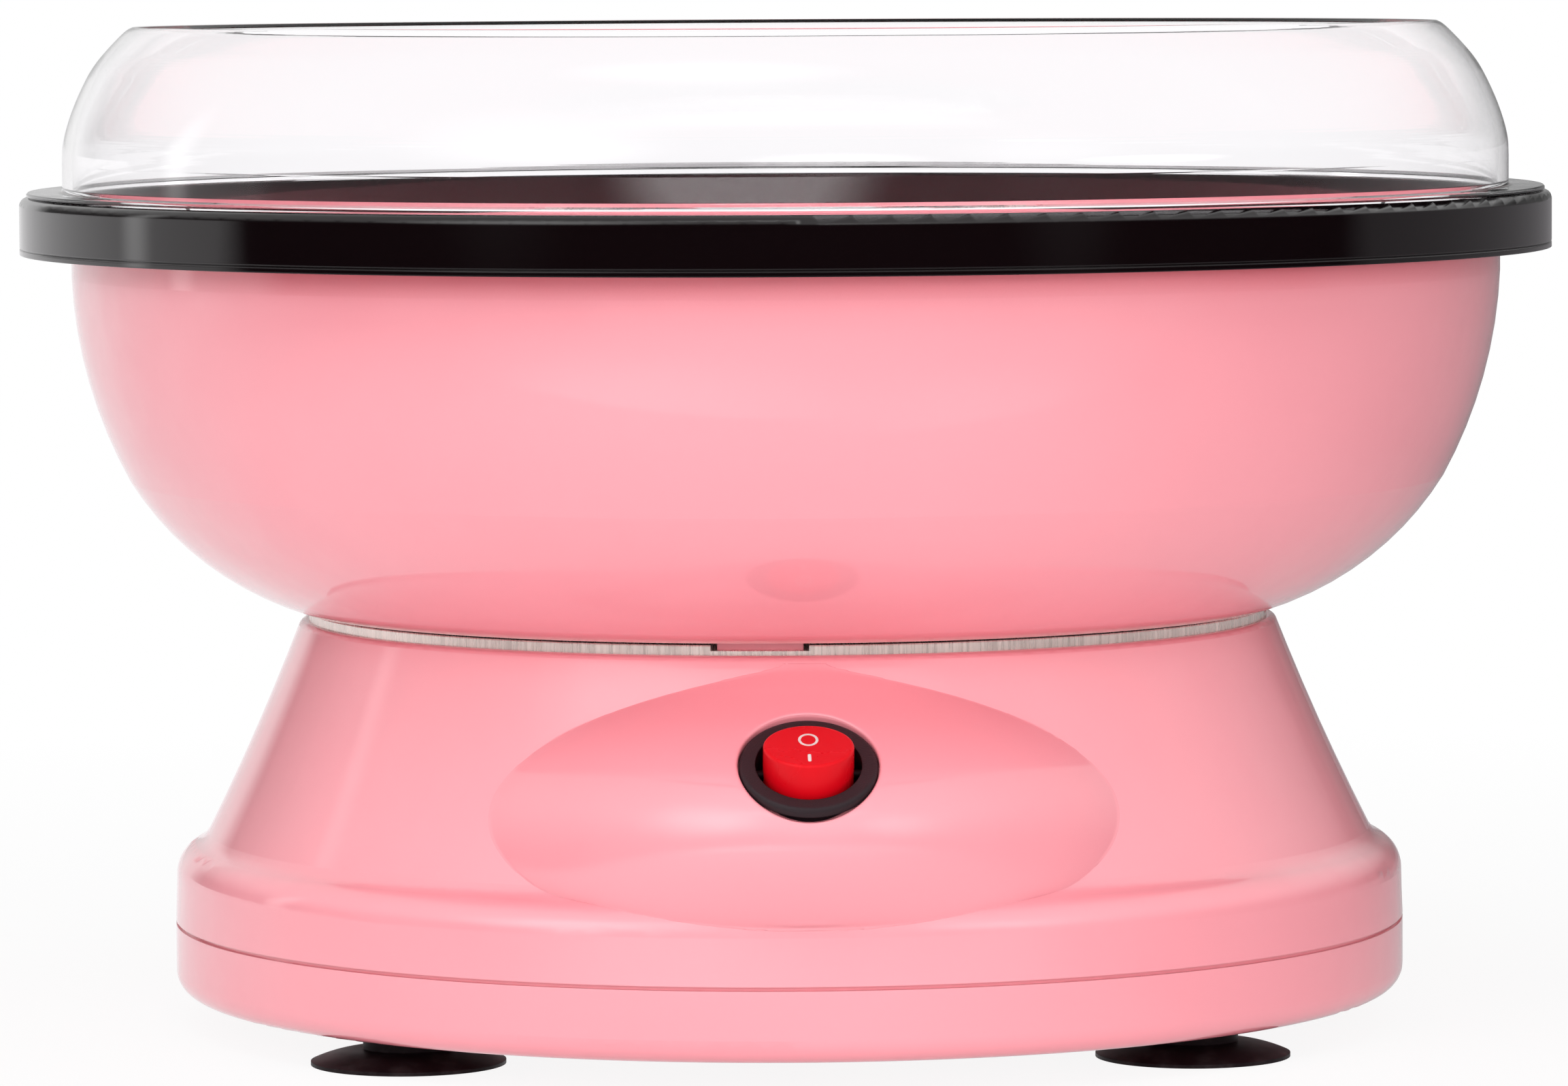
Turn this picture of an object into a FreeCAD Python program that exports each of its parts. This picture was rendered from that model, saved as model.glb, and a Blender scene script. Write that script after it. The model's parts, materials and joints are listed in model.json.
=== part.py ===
import FreeCAD, Part
import math
import os

Vector = FreeCAD.Vector
UP = Vector(0, 0, 1)
ALONG_X = Vector(1, 0, 0)

# Countertop cotton candy machine, in millimetres.
# The origin lies on the table under the spinning head's axis, +Z is up and the switch faces -Y.

# Fits
slip_gap = 0.3           # between pieces of different bodies that lift apart
running_gap = 0.05       # radial, shaft in bush
screw_gap = 0.1          # radial, screw in its pilot hole
hole_gap = 0.3           # radial, piece through a clearance hole

# Suction feet
foot_height = 6.2        # table to the underside of the bottom cover
foot_rim_r = 18.5
foot_rim_t = 0.7
foot_lip = 3.0           # flat sealing lip of the cup
foot_hollow = 1.6
foot_stem_r = 8.6
foot_stem_h = 3.2
foot_cone_bulge = 0.5
foot_neck_r = 3.8
foot_barb_r = 5.4
foot_barb_h = 4.0
foot_tip_r = 2.3
foot_inset = 20.9        # base's edge to the feet's circle
foot_angle = 42.0

# Bottom cover
wall = 2.4               # pink mouldings
base_r = 121.0
cover_depth = 13.7
cover_round = 4.5
seam_gap = 0.7
seam_depth = 0.8         # how far the ledge behind the seam is set back
tongue_t = 1.6
tongue_h = 2.4
blind_floor = 0.6        # left under a blind hole
vent_count = 12
vent_width = 3.2
vent_inner_r = 12.0
vent_outer_r = 27.0

# Base housing
housing_height = 58.6    # seam to the flat top
housing_top_r = 95.9
skirt_height = 9.0       # upright band above the seam
skirt_taper = 0.3        # draft of the upright band
shoulder_inset = 5.6     # base's edge to the valley between the shoulder and the cone
shoulder_rise = 15.2     # seam to the valley
shoulder_bulge = 1.5
cone_hollow = 0.6        # the cone is slightly hollow
corner_share = 0.5       # how far the inside corners drop, in walls
valley_round = 5.0
top_round = 1.5
deck_gap = 2.5           # heater well to the deck's edge

# Raised oval panel, part of an ellipsoid
panel_proud = 4.0        # how far it stands out beyond the base
panel_rise = 23.4        # seam to the widest level
panel_half_width = 76.0
panel_top_inset = 12.7   # housing's top edge to the panel's end on the flat top
panel_half_height = 42.5
panel_round = 1.2

# Switch
switch_rise = 40.7       # seam to the switch's centre
switch_lean = 35.0       # degrees between the switch's axis and the vertical
switch_sink = 2.0        # seat below the panel's surface
flange_r = 12.8
flange_t = 1.8
flange_round = 0.8
barrel_r = 11.0
barrel_wall = 1.2
barrel_depth = 12.0
block_depth = 6.0
terminal_length = 7.0
terminal_root = 3.6      # part held in the block
terminal_width = 4.8
terminal_t = 0.8
terminal_spacing = 6.6
rocker_r = 8.35
rocker_face = 6.1        # pivot to the rocker's face
rocker_skirt = 2.6       # pivot to the rocker's lower edge
rocker_wall = 1.3
rocker_round = 0.5
rocker_throw = 28.0      # degrees from off to on
pivot_depth = 2.6        # flange face to pivot
pivot_pin_r = 1.0
pin_recess = 0.2         # pin's ends inside the barrel
rocker_hub_r = 2.2
rocker_web_h = 7.4

# Cord gland in the rear wall
gland_rise = 6.4         # seam to the gland's axis
gland_flange_r = 5.2
gland_flange_t = 1.4
gland_body_r = 4.0
gland_bore_r = 2.8
gland_round = 0.7
gland_length = 6.5

# Metal plate with the heater well
plate_inset = 1.6        # housing's top edge to the plate's edge
plate_t = 0.8
well_r = 51.0
well_depth = 9.0
well_round = 2.5
well_collar_r = 9.0
well_collar_h = 5.0
plate_screw_angle = 34.0
plate_screw_inset = 6.0
plate_screw_length = 5.4
plate_screw_head_t = 1.2
plate_boss_h = 7.0       # under the deck

# Heater
heater_r = 34.0
heater_tube_r = 3.2
heater_lift = 6.4        # well floor to the tube's centre
heater_open = 30.0       # degrees left open between the legs
heater_leg = 13.0
heater_leg_r = 1.6
heater_post_r = 4.2
heater_post_count = 4
heater_saddle = 1.3      # tube's centre to the post's top
insulator_r = 3.4
insulator_h = 4.6
insulator_drop = 1.8     # below the well floor's underside
thermostat_r = 8.0
thermostat_h = 6.0
thermostat_y = 34.0
thermostat_ear = 12.0
thermostat_screw_length = 3.6

# Bowl
bowl_lug_h = 1.6         # locating lugs stand on the plate
bowl_lug_angle = 10.0
bowl_lug_width = 6.0
bowl_lug_inset = 2.0
bowl_lug_count = 4
bowl_lug_start = -95.0
bowl_wall = 2.2
bowl_overhang = 0.7      # bowl's foot beyond the housing's top
bowl_waist_r = 129.0
bowl_waist_rise = 25.4
bowl_top_r = 140.0
bowl_top_rise = 65.4
bowl_height = 73.4
bowl_lower_bulge = 3.7
bowl_upper_bulge = 2.4
bowl_flange = 6.7
bowl_flange_t = 2.0
bowl_hole_gap = 11.5     # spinning head to the bowl's collar
bowl_collar_h = 8.4

# Clip ring
ring_wall = 3.0
ring_height = 11.0
ring_rise = 7.5          # bowl's rim to the ring's top
ring_shelf_t = 2.0
ring_leg_t = 2.0         # inner leg that stands on the bowl's rim
ring_round = 1.6
ring_rib_count = 24
ring_rib_width = 1.6
ring_line = 1.0          # ring's lower edge to the fine groove round it
ring_line_depth = 0.3

# Clear dome
dome_seat = 1.6          # bowl's top edge to the dome's outside
dome_wall = 2.0
dome_mouth_inset = 12.3  # dome's outside to the mouth's edge
dome_upright = 11.5      # ring's top to the start of the curve
dome_height = 40.5       # foot to the rim
dome_flange_t = 1.0
dome_flange_inset = 1.4  # flange's edge inside the ring's
dome_rim_h = 2.2
dome_corner = 0.8        # inside corner below the outside one
dome_bulge = 3.1

# Spinning head
head_r = 46.5
head_floor_t = 1.5
head_floor_gap = 3.4     # heater to the head's floor
head_lip_h = 2.6
head_lip_t = 1.2
head_hub_r = 7.0
head_hub_drop = 3.2
head_hub_rise = 10.5
head_hub_round = 3.5
head_hub_cap = 2.0       # closed end above the bore
head_rim = 3.0           # pan's edge to the band
head_band_t = 1.0
head_band_h = 15.5
head_slot_count = 60
head_slot_width = 1.3
head_slot_h = 10.0
head_cover_t = 1.2
head_mouth_r = 22.0
head_funnel_drop = 7.5
head_funnel_flare = 3.0
head_rivet_r = 1.8
head_rivet_head_r = 3.2
head_rivet_head_t = 0.9
head_rivet_count = 4
head_rivet_inset = 10.5

# Shaft and drive pin
shaft_r = 3.0
shaft_tip_gap = 0.5
shaft_chamfer = 0.5
shaft_tail = 1.0         # shaft below the fan
drive_pin_r = 1.25
drive_pin_length = 17.0
drive_pin_rise = 3.4     # hub's lower end to the pin's centre
collar_r = 5.5
collar_h = 3.5

# Motor
motor_r = 18.5
motor_wall = 1.2
motor_length = 34.0
motor_drop = 10.0        # well floor to the motor's top
end_cap_t = 3.0
bush_r = 5.0
bush_length = 5.0
armature_r = 13.4
armature_length = 22.0
armature_slots = 5
armature_slot_width = 2.0
armature_slot_floor = 7.4
commutator_r = 5.2
commutator_length = 3.0
commutator_gap = 1.0     # end cap to the commutator
magnet_gap = 0.5
magnet_angle = 140.0
motor_screw_circle = 12.5

# Motor bracket
bracket_t = 1.5
bracket_hub_r = 21.0
bracket_arm_width = 15.0
post_clear = 5.4         # heater well to the posts
bracket_arms = 3
bracket_arm_start = 30.0
post_r = 4.6
grommet_r = 6.4
grommet_neck_r = 4.0
grommet_bore_r = 2.0
grommet_flange_t = 1.8

# Fan
fan_r = 24.0
fan_hub_r = 6.0
fan_height = 8.0
fan_blades = 7
fan_blade_t = 1.2
fan_blade_root = 0.6     # blade's root inside the hub
fan_blade_margin = 0.6   # hub's ends to the blade's edges
fan_root_pitch = 50.0
fan_tip_pitch = 28.0
fan_lift = 3.4           # cover floor to the fan

# Screws
screw_r = 1.6
screw_head_r = 3.4
screw_head_t = 2.0
screw_length = 9.0
screw_head_bevel = 0.6   # share of the head's height
bracket_screw_length = 12.3

# Cover screw pillars
pillar_r = 5.0
pillar_inset = 16.0      # base's edge to the pillars' circle
pillar_angle = 14.0
pillar_height = 33.4     # above the seam
pillar_boss_h = 3.4

# Electrics on the cover floor
block_size = (26.0, 13.0, 12.0)
block_inset = 35.0       # base's edge to the block's centre
block_angle = 115.0
block_poles = 3
block_hole_r = 1.7
block_hole_rise = 4.5    # floor to the wire holes
block_screw_floor = 6.5
board_size = (42.0, 28.0, 1.6)
board_inset = 57.0
board_angle = -4.0
board_lift = 5.0
board_screw_inset = 3.5
diode_r = 1.6
diode_length = 6.0
diode_count = 4
diode_pitch = 3.6
diode_place = (4.0, -9.0)    # first diode, from the board's centre
capacitor_r = 5.0
capacitor_h = 12.0
capacitor_place = (-6.0, 4.0)

# Levels, from the table upwards
cover_bottom_z = foot_height
cover_floor_z = cover_bottom_z + wall
cover_top_z = cover_bottom_z + cover_depth
board_z = cover_floor_z + board_lift
board_top_z = board_z + board_size[2]
housing_bottom_z = cover_top_z + seam_gap
housing_top_z = housing_bottom_z + housing_height
plate_top_z = housing_top_z + plate_t
well_floor_z = plate_top_z - well_depth
well_underside_z = well_floor_z - plate_t
heater_z = well_floor_z + heater_lift
bowl_bottom_z = plate_top_z + bowl_lug_h
bowl_rim_z = bowl_bottom_z + bowl_height
dome_bottom_z = bowl_rim_z
dome_top_z = dome_bottom_z + dome_height
ring_top_z = bowl_rim_z + ring_rise
head_floor_z = heater_z + heater_tube_r + head_floor_gap
head_floor_top_z = head_floor_z + head_floor_t
head_cover_z = head_floor_top_z + head_band_h
hub_bottom_z = head_floor_z - head_hub_drop
hub_top_z = head_floor_z + head_hub_rise
drive_pin_z = hub_bottom_z + drive_pin_rise
shaft_tip_z = hub_top_z - head_hub_cap - shaft_tip_gap
motor_top_z = well_underside_z - motor_drop
motor_bottom_z = motor_top_z - motor_length
stack_z = motor_bottom_z + end_cap_t + commutator_gap + commutator_length
bracket_top_z = motor_top_z + bracket_t
post_foot_z = bracket_top_z + grommet_flange_t
fan_z = cover_floor_z + fan_lift
shaft_foot_z = fan_z - shaft_tail
pillar_foot = cover_floor_z + pillar_boss_h
pillar_top = housing_bottom_z + pillar_height
gland_z = housing_bottom_z + gland_rise
switch_z = housing_bottom_z + switch_rise

# Radii that follow from a neighbour's
shoulder_r = base_r - shoulder_inset
bowl_foot_r = housing_top_r + bowl_overhang
bowl_flange_r = bowl_top_r + bowl_flange
ring_inner_r = bowl_flange_r + slip_gap
dome_r = bowl_top_r + dome_seat
dome_mouth_r = dome_r - dome_mouth_inset
ring_r = ring_inner_r + ring_wall
tongue_r = base_r - wall - hole_gap
plate_r = housing_top_r - plate_inset
deck_inner_r = well_r + deck_gap
post_circle = well_r + post_r + post_clear
bowl_hole_r = head_r + bowl_hole_gap
head_band_r = head_r - head_rim
head_rivet_circle = head_r - head_rivet_inset

# Panel and switch places
panel_z = housing_bottom_z + panel_rise
panel_front = base_r + panel_proud
panel_top_share = math.sqrt(1.0 - ((housing_top_z - panel_z) / panel_half_height) ** 2)
panel_half_depth = (panel_front - housing_top_r + panel_top_inset) / (1.0 - panel_top_share)
panel_y = panel_half_depth - panel_front
switch_level = (switch_z - panel_z) / panel_half_height
switch_y = panel_y - panel_half_depth * math.sqrt(1.0 - switch_level ** 2)
pivot_level = flange_t - switch_sink - pivot_depth
thread_r = screw_r + screw_gap
clear_r = screw_r + hole_gap


# ---------------------------------------------------------------- helpers

def polar(radius, angle, z=0.0):
    """Point at a radius and an angle in degrees about the machine's axis."""
    turn = math.radians(angle)
    return Vector(radius * math.cos(turn), radius * math.sin(turn), z)


def cylinder(radius, z_low, z_high, place=Vector(0, 0, 0)):
    return Part.makeCylinder(radius, z_high - z_low, Vector(place.x, place.y, z_low))


def tube(inner_r, outer_r, z_low, z_high, place=Vector(0, 0, 0)):
    return cylinder(outer_r, z_low, z_high, place).cut(cylinder(inner_r, z_low, z_high, place))


def block(size, centre, z_low):
    """Box of the given size, centred in plan and standing on z_low."""
    corner = Vector(centre[0] - size[0] / 2, centre[1] - size[1] / 2, z_low)
    return Part.makeBox(size[0], size[1], size[2], corner)


def profile_edge(start, end, bulge):
    """Line, or an arc whose middle lies bulge to the right of the way from start to end."""
    first = Vector(start[0], 0, start[1])
    last = Vector(end[0], 0, end[1])
    if bulge == 0:
        return Part.makeLine(first, last)
    way = (last - first).normalize()
    middle = (first + last) * 0.5 + Vector(way.z, 0, -way.x) * bulge
    return Part.Arc(first, middle, last).toShape()


def revolved(outline):
    """Solid of revolution. A point is (r, z), or (r, z, bulge) at the end of an arc."""
    edges = []
    for start, end in zip(outline, outline[1:] + outline[:1]):
        bulge = end[2] if len(end) == 3 else 0
        edges.append(profile_edge(start, end, bulge))
    face = Part.Face(Part.Wire(edges))
    return face.revolve(Vector(0, 0, 0), UP, 360)


def quarter_bulge(radius):
    """Bulge of a quarter of a circle."""
    return radius * (1.0 - math.cos(math.radians(45)))


def arc_slopes(start, end, bulge):
    """Slopes from the vertical, in degrees, at both ends of an arc that swells outwards."""
    run = end[0] - start[0]
    rise = end[1] - start[1]
    chord = math.degrees(math.atan2(run, rise))
    swing = math.degrees(2 * math.atan(2 * bulge / math.hypot(run, rise)))
    return chord + swing, chord - swing


def moved_in(point, slope, depth):
    """Point moved square into a wall whose slope from the vertical is given in degrees."""
    turn = math.radians(slope)
    return point[0] - depth * math.cos(turn), point[1] + depth * math.sin(turn)


def circle_edges(solid, radius, z):
    """Full circles of a radius at a level."""
    circles = [edge for edge in solid.Edges if isinstance(edge.Curve, Part.Circle)]
    return [edge for edge in circles
            if abs(edge.Curve.Radius - radius) < 0.01 and abs(edge.Curve.Center.z - z) < 0.01]


def round_circle(solid, radius, z, size):
    return solid.makeFillet(size, circle_edges(solid, radius, z))


def around(shape, count, start=0.0):
    """Copies of a shape at equal steps about the machine's axis."""
    copies = []
    for index in range(count):
        copy = shape.copy()
        copy.rotate(Vector(0, 0, 0), UP, start + index * 360.0 / count)
        copies.append(copy)
    return copies


def group(shapes):
    return Part.makeCompound(shapes)


def screw_up(place, head_z, length=screw_length):
    """Pan head screw driven upwards, with its head's upper face at head_z."""
    head = cylinder(screw_head_r, head_z - screw_head_t, head_z, place)
    return head.fuse(cylinder(screw_r, head_z, head_z + length, place))


def screw_down(place, head_z, length=screw_length, head_t=screw_head_t):
    """Pan head screw driven downwards, with its head's lower face at head_z."""
    head = cylinder(screw_head_r, head_z, head_z + head_t, place)
    bevel = head_t * screw_head_bevel
    head = head.makeChamfer(bevel, circle_edges(head, screw_head_r, head_z + head_t))
    return head.fuse(cylinder(screw_r, head_z - length, head_z, place))


def on_switch(shape):
    """Move a shape from the switch's own frame, with its axis along Z, to the panel."""
    placed = shape.copy()
    placed.rotate(Vector(0, 0, 0), ALONG_X, switch_lean)
    placed.translate(Vector(0, switch_y, switch_z))
    return placed


# ---------------------------------------------------------------- places

def four_places(radius, angle):
    """Places on a circle, at the same angle before and behind the X axis on both sides."""
    return [polar(radius, turn) for turn in (180 + angle, -angle, 180 - angle, angle)]


foot_places = four_places(base_r - foot_inset, foot_angle)
pillar_places = four_places(base_r - pillar_inset, pillar_angle)
plate_screw_places = four_places(plate_r - plate_screw_inset, plate_screw_angle)
post_places = [polar(post_circle, bracket_arm_start + index * 360.0 / bracket_arms)
               for index in range(bracket_arms)]
motor_screw_places = [Vector(-motor_screw_circle, 0, 0), Vector(motor_screw_circle, 0, 0)]
thermostat_screw_places = [Vector(side * thermostat_ear, thermostat_y, 0) for side in (-1, 1)]
block_place = polar(base_r - block_inset, block_angle)
board_place = polar(base_r - board_inset, board_angle)
board_screw_places = [Vector(board_place[0] + side * (board_size[0] / 2 - board_screw_inset),
                             board_place[1] + side * (board_size[1] / 2 - board_screw_inset), 0)
                      for side in (-1, 1)]


# ---------------------------------------------------------------- base housing

def housing_outline(inset):
    """Outer form of the housing, or its inside at a wall's distance."""
    foot = base_r - inset
    valley_z = housing_bottom_z + shoulder_rise
    return [(0, housing_bottom_z),
            (foot, housing_bottom_z),
            (foot - skirt_taper, housing_bottom_z + skirt_height - inset * corner_share),
            (shoulder_r - inset, valley_z - inset * corner_share, shoulder_bulge),
            (housing_top_r - inset, housing_top_z - inset, -cone_hollow),
            (0, housing_top_z - inset)]


def housing_body(inset):
    """Solid of revolution under the housing's surface, with the panel's swelling."""
    outline = housing_outline(inset)
    body = revolved(outline)
    body = round_circle(body, outline[3][0], outline[3][1], valley_round)
    if inset == 0:
        body = round_circle(body, housing_top_r, housing_top_z, top_round)
    return body


def panel_body(inset):
    """Ellipsoid of the raised oval panel, above the seam."""
    matrix = FreeCAD.Matrix()
    matrix.scale(panel_half_width - inset, panel_half_depth - inset, panel_half_height - inset)
    matrix.move(Vector(0, panel_y, panel_z))
    ball = Part.makeSphere(1.0).transformGeometry(matrix)
    keep = cylinder(2 * base_r, housing_bottom_z, housing_top_z - inset)
    return ball.common(keep)


def swollen_body(inset):
    return housing_body(inset).fuse(panel_body(inset))


def panel_crease(body):
    """Edges along which the panel meets the cone and the shoulder."""
    front = -housing_top_r * math.cos(math.asin(panel_half_width / base_r))
    return [edge for edge in body.Edges
            if edge.BoundBox.YMax < front and edge.BoundBox.ZMin > housing_bottom_z + panel_round
            and edge.BoundBox.XLength > 2 * valley_round]


def base_housing():
    outer = swollen_body(0)
    outer = outer.makeFillet(panel_round, panel_crease(outer))
    shell = outer.cut(swollen_body(wall))

    mid_wall = swollen_body(wall / 2)
    seat = on_switch(cylinder(flange_r + wall, -switch_sink - wall, flange_r)).common(mid_wall)
    posts = [cylinder(post_r, post_foot_z, housing_top_z - wall / 2, place) for place in post_places]
    pillars = []
    for place in pillar_places:
        pillars.append(cylinder(pillar_r, housing_bottom_z, pillar_top, place).common(mid_wall))
        pillars.append(cylinder(pillar_r, pillar_foot, housing_bottom_z, place))
    bosses = [cylinder(pillar_r, housing_top_z - plate_boss_h, housing_top_z, place).common(mid_wall)
              for place in plate_screw_places]
    shell = shell.fuse([seat] + posts + pillars + bosses)

    cuts = [on_switch(cylinder(flange_r + hole_gap, -switch_sink, 2 * flange_r)),
            on_switch(cylinder(barrel_r + hole_gap, -2 * flange_r, 0)),
            cylinder(deck_inner_r, well_underside_z, housing_top_z + 1),
            gland_cylinder(gland_body_r, -2 * gland_length, 2 * gland_length)]
    for place in pillar_places:
        cuts.append(cylinder(thread_r, pillar_foot, pillar_foot + screw_length, place))
    for place in post_places:
        cuts.append(cylinder(thread_r, post_foot_z, post_foot_z + screw_length, place))
    for place in plate_screw_places:
        cuts.append(cylinder(thread_r, housing_top_z - plate_boss_h + wall / 2, housing_top_z, place))
    return shell.cut(cuts).removeSplitter()


# ---------------------------------------------------------------- bottom cover

def bottom_cover():
    shell = cylinder(base_r, cover_bottom_z, cover_top_z)
    shell = round_circle(shell, base_r, cover_bottom_z, cover_round)
    inside = cylinder(base_r - wall, cover_floor_z, cover_top_z)
    inside = round_circle(inside, base_r - wall, cover_floor_z, cover_round - wall)
    shell = shell.cut(inside)
    tongue = tube(tongue_r - tongue_t, tongue_r, cover_floor_z + cover_round, cover_top_z + tongue_h)
    web = tube(tongue_r - tongue_t, base_r - wall / 2, cover_floor_z + cover_round, cover_top_z)
    ledge = tube(tongue_r - tongue_t, base_r - seam_depth, cover_top_z, housing_bottom_z)
    bosses = [cylinder(pillar_r + wall, cover_floor_z, pillar_foot, place) for place in pillar_places]
    standoffs = [cylinder(screw_head_r, cover_floor_z, cover_floor_z + board_lift, place)
                 for place in board_screw_places]
    shell = shell.fuse([tongue, web, ledge] + bosses + standoffs)

    cuts = []
    for place in pillar_places:
        cuts.append(cylinder(clear_r, cover_bottom_z, pillar_foot, place))
        cuts.append(cylinder(screw_head_r + hole_gap, cover_bottom_z, pillar_foot - wall, place))
    for place in foot_places:
        cuts.append(cylinder(foot_neck_r, cover_bottom_z, cover_floor_z, place))
    for place in board_screw_places:
        cuts.append(cylinder(thread_r, cover_floor_z + blind_floor, cover_floor_z + board_lift, place))
    return shell.cut(cuts + around(vent(), vent_count)).removeSplitter()


def vent():
    """Radial air slot with round ends, through the cover's floor."""
    length = vent_outer_r - vent_inner_r - vent_width
    low = cover_bottom_z - 1
    height = wall + 2
    inner = vent_inner_r + vent_width / 2
    slot = Part.makeBox(length, vent_width, height, Vector(inner, -vent_width / 2, low))
    ends = [cylinder(vent_width / 2, low, low + height, Vector(x, 0, 0)) for x in (inner, inner + length)]
    return slot.fuse(ends)


def suction_foot(place):
    stem_top = foot_height
    foot = revolved([(0, foot_hollow),
                     (foot_rim_r - foot_lip, 0),
                     (foot_rim_r, 0),
                     (foot_rim_r, foot_rim_t),
                     (foot_stem_r, stem_top - foot_stem_h, foot_cone_bulge),
                     (foot_stem_r, stem_top),
                     (foot_neck_r, stem_top),
                     (foot_neck_r, stem_top + wall),
                     (foot_barb_r, stem_top + wall),
                     (foot_tip_r, stem_top + wall + foot_barb_h),
                     (0, stem_top + wall + foot_barb_h)])
    foot.translate(place)
    return foot


def cover_screws():
    return group([screw_up(place, pillar_foot - wall, screw_length + wall) for place in pillar_places])


# ---------------------------------------------------------------- plate and heater

def heat_plate():
    """Pressed plate, bent down into the heater well and up again round the shaft."""
    well_inner = well_r - plate_t
    bend_r = well_inner + well_round
    under_round = well_round - plate_t
    collar_top = well_floor_z + well_collar_h
    plate = revolved([(plate_r, housing_top_z),
                      (plate_r, plate_top_z),
                      (bend_r, plate_top_z),
                      (well_inner, plate_top_z - well_round, quarter_bulge(well_round)),
                      (well_inner, well_floor_z),
                      (well_collar_r, well_floor_z),
                      (well_collar_r, collar_top),
                      (well_collar_r - plate_t, collar_top),
                      (well_collar_r - plate_t, well_underside_z),
                      (well_r, well_underside_z),
                      (well_r, housing_top_z - under_round),
                      (bend_r, housing_top_z, -quarter_bulge(under_round))])
    cuts = [cylinder(clear_r, housing_top_z, plate_top_z, place) for place in plate_screw_places]
    cuts += [cylinder(insulator_r, well_underside_z, well_floor_z, place) for place in heater_leg_places()]
    cuts += [cylinder(clear_r, well_underside_z, well_floor_z, place) for place in thermostat_screw_places]
    return plate.cut(cuts)


def plate_screws():
    return group([screw_down(place, plate_top_z, plate_screw_length, plate_screw_head_t)
                  for place in plate_screw_places])


def heater_leg_places():
    return [polar(heater_r, -90 + side * heater_open / 2) for side in (-1, 1)]


def heater_tube(radius):
    """Part ring of the heater, open between its legs."""
    circle = Part.Circle(Vector(heater_r, 0, heater_z), Vector(0, 1, 0), radius)
    face = Part.Face(Part.Wire([circle.toShape()]))
    ring = face.revolve(Vector(0, 0, 0), UP, 360 - heater_open)
    ring.rotate(Vector(0, 0, 0), UP, -90 + heater_open / 2)
    return ring


def heater_ring():
    legs = [cylinder(heater_leg_r, heater_z - heater_leg, heater_z, place) for place in heater_leg_places()]
    return heater_tube(heater_tube_r).fuse(legs)


def heater_posts():
    """Ceramic posts with a saddle for the heater tube."""
    posts = []
    step = 360.0 / heater_post_count
    for index in range(heater_post_count):
        place = polar(heater_r, -90 + (index + 0.5) * step)
        posts.append(cylinder(heater_post_r, well_floor_z, heater_z - heater_saddle, place))
    return group([post.cut(heater_tube(heater_tube_r)) for post in posts])


def heater_insulators():
    """Ceramic tubes that carry the heater's legs through the well floor."""
    low = well_underside_z - insulator_drop
    return group([tube(heater_leg_r, insulator_r, low, low + insulator_h, place)
                  for place in heater_leg_places()])


def thermostat():
    place = Vector(0, thermostat_y, 0)
    body = cylinder(thermostat_r, well_underside_z - thermostat_h, well_underside_z, place)
    ear = block((2 * thermostat_ear + 2 * screw_head_r, 2 * screw_head_r, plate_t), (0, thermostat_y),
                well_underside_z - plate_t)
    body = body.fuse(ear)
    return body.cut([cylinder(thread_r, well_underside_z - 2 * plate_t, well_underside_z, hole)
                     for hole in thermostat_screw_places])


def thermostat_screws():
    return group([screw_down(place, well_floor_z, thermostat_screw_length)
                  for place in thermostat_screw_places])


# ---------------------------------------------------------------- bowl, ring and dome

def bowl():
    foot = (bowl_foot_r, bowl_bottom_z)
    waist = (bowl_waist_r, bowl_bottom_z + bowl_waist_rise)
    top = (bowl_top_r, bowl_bottom_z + bowl_top_rise)
    flange_z = bowl_rim_z - bowl_flange_t
    collar_r = bowl_hole_r + bowl_wall
    floor_z = bowl_bottom_z + bowl_wall
    lower = arc_slopes(foot, waist, bowl_lower_bulge)
    upper = arc_slopes(waist, top, bowl_upper_bulge)
    inner_foot = moved_in(foot, lower[0], bowl_wall)
    inner_waist = moved_in(waist, (lower[1] + upper[0]) / 2, bowl_wall)
    shell = revolved([(bowl_hole_r, bowl_bottom_z),
                      foot,
                      waist + (bowl_lower_bulge,),
                      top + (bowl_upper_bulge,),
                      (bowl_top_r, flange_z),
                      (bowl_flange_r, flange_z),
                      (bowl_flange_r, bowl_rim_z),
                      (bowl_top_r - bowl_wall, bowl_rim_z),
                      (bowl_top_r - bowl_wall, top[1]),
                      inner_waist + (-bowl_upper_bulge,),
                      (inner_foot[0], floor_z, -bowl_lower_bulge),
                      (collar_r, floor_z),
                      (collar_r, bowl_bottom_z + bowl_collar_h),
                      (bowl_hole_r, bowl_bottom_z + bowl_collar_h)])
    lugs = around(bowl_lug(), bowl_lug_count, bowl_lug_start - bowl_lug_angle / 2)
    return shell.fuse(lugs).removeSplitter()


def bowl_lug():
    """Curved foot under the bowl that stands on the metal plate."""
    outer_r = plate_r - bowl_lug_inset
    inner_r = outer_r - bowl_lug_width
    ring = tube(inner_r, outer_r, plate_top_z, bowl_bottom_z)
    wedge = Part.makeCylinder(outer_r + 1, bowl_lug_h, Vector(0, 0, plate_top_z), UP, bowl_lug_angle)
    return ring.common(wedge)


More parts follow.
